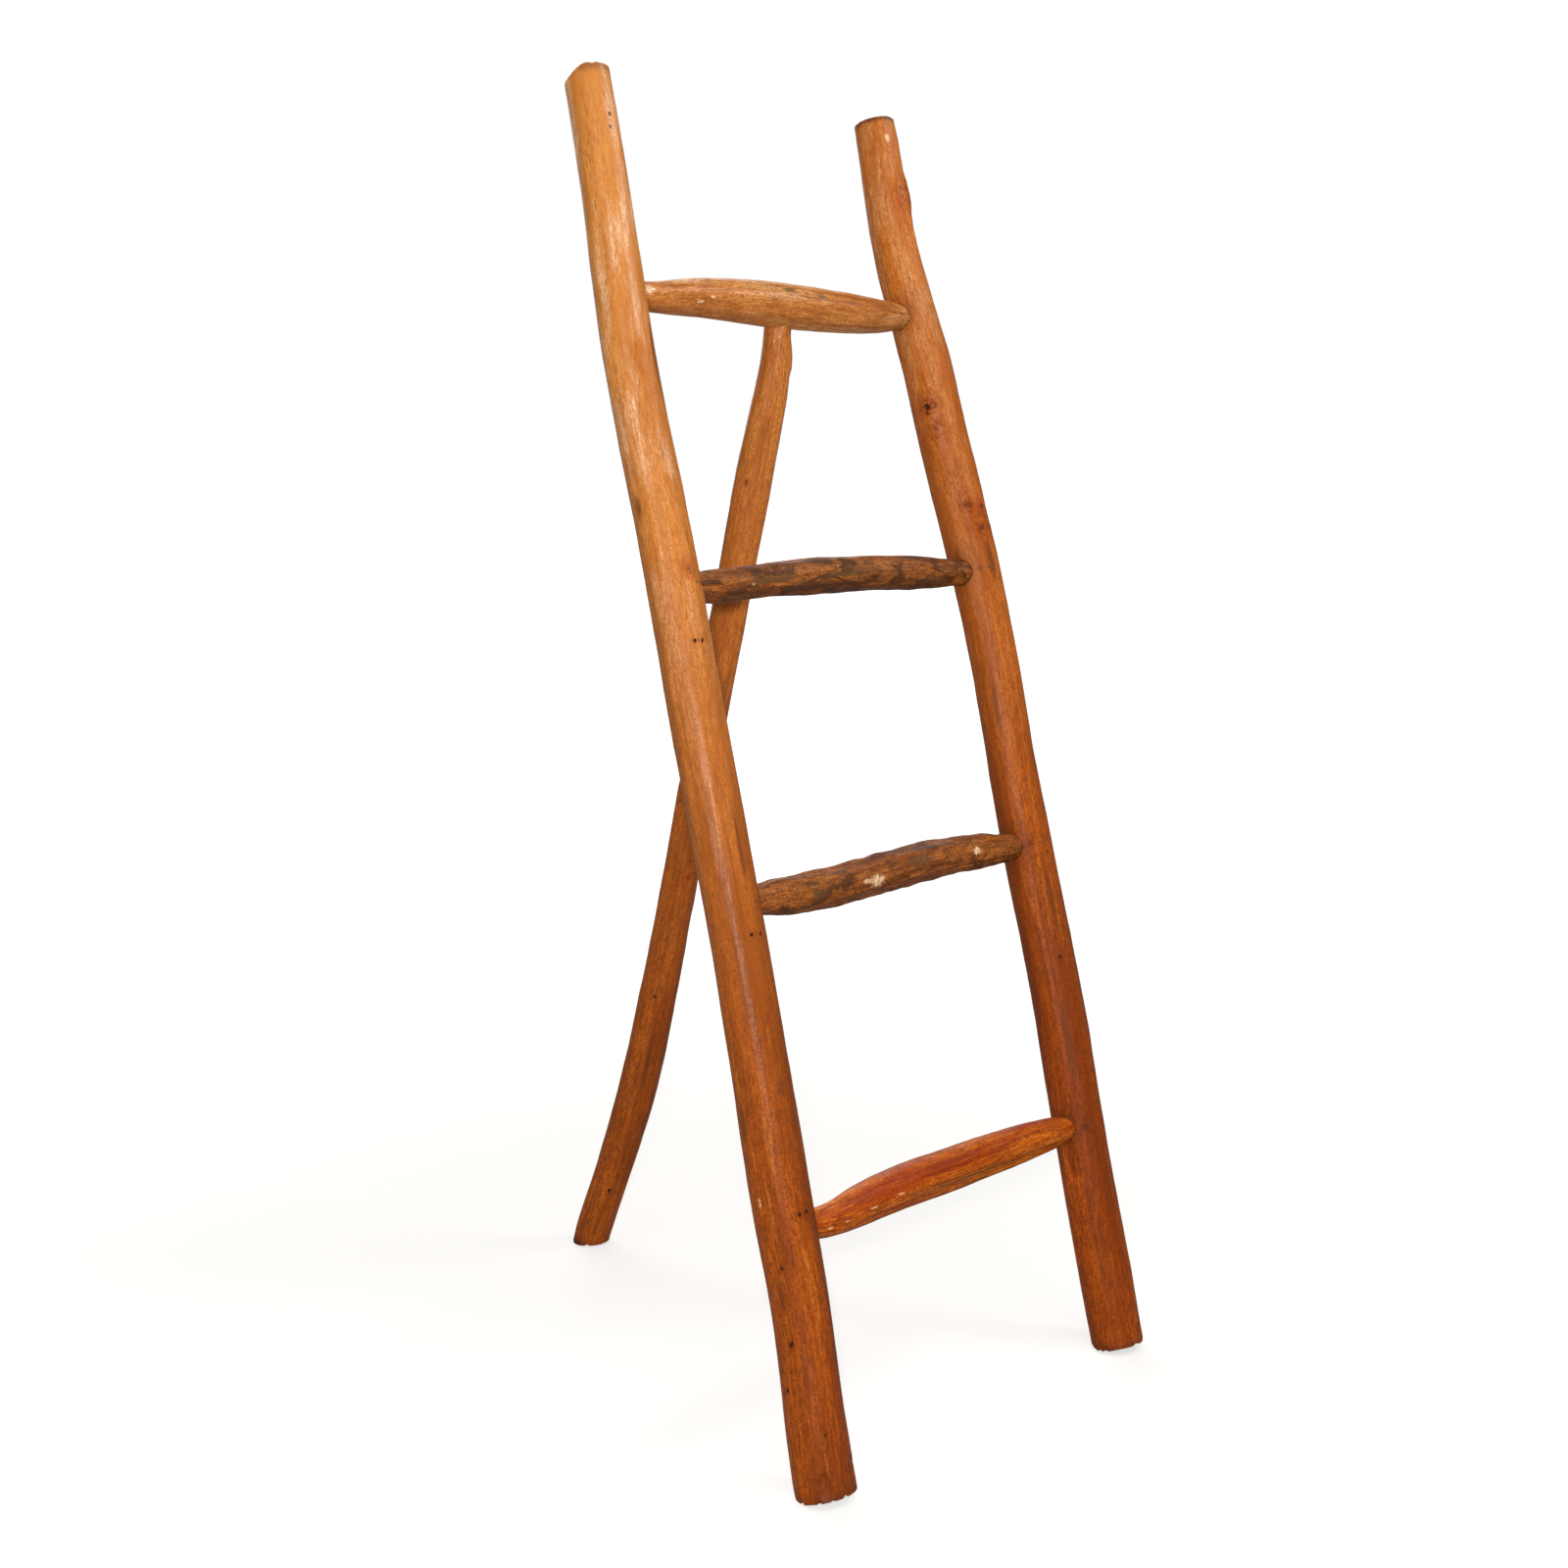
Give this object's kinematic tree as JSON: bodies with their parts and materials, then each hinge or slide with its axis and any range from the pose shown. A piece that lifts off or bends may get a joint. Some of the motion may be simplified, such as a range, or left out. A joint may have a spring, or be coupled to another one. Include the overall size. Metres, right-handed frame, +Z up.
{
  "type": "ladder rack",
  "caption": "Free-standing rustic ladder rack of natural branches: two leaning rails with tenoned rungs and a fold-out prop leg behind.",
  "frame": {"origin": "on the floor, under the centre of the whole rack's box as it stands open", "axes": "+X along the rungs, +Y from the ladder back towards the prop leg, +Z up"},
  "size_m": [0.6344, 0.8373, 1.6153],
  "materials": {
    "rail_wood": "satin varnish over peeled branch",
    "light_rung_wood": "satin varnish over smooth pale wood",
    "dark_rung_wood": "satin varnish over rough bark-stained wood",
    "prop_wood": "satin varnish over peeled branch",
    "brad_steel": "dull dark steel"
  },
  "bodies": {
    "ladder": {"left_rail": "rail_wood", "right_rail": "rail_wood", "rung_2": "dark_rung_wood", "rung_3": "dark_rung_wood", "rung_4": "light_rung_wood", "brad_left_2": "brad_steel", "brad_left_3": "brad_steel", "brad_left_4": "brad_steel", "brad_right_2": "brad_steel", "brad_right_3": "brad_steel", "brad_right_4": "brad_steel"},
    "prop": {"top_rung": "light_rung_wood", "prop_leg": "prop_wood"}
  },
  "joints": [
    {"name": "prop_fold", "type": "hinge", "parent": "ladder", "child": "prop", "pos_m": [-0.0001, -0.02023, 1.3494], "axis": [1, 0, 0], "range_deg": [-22.5, 25]}
  ]
}
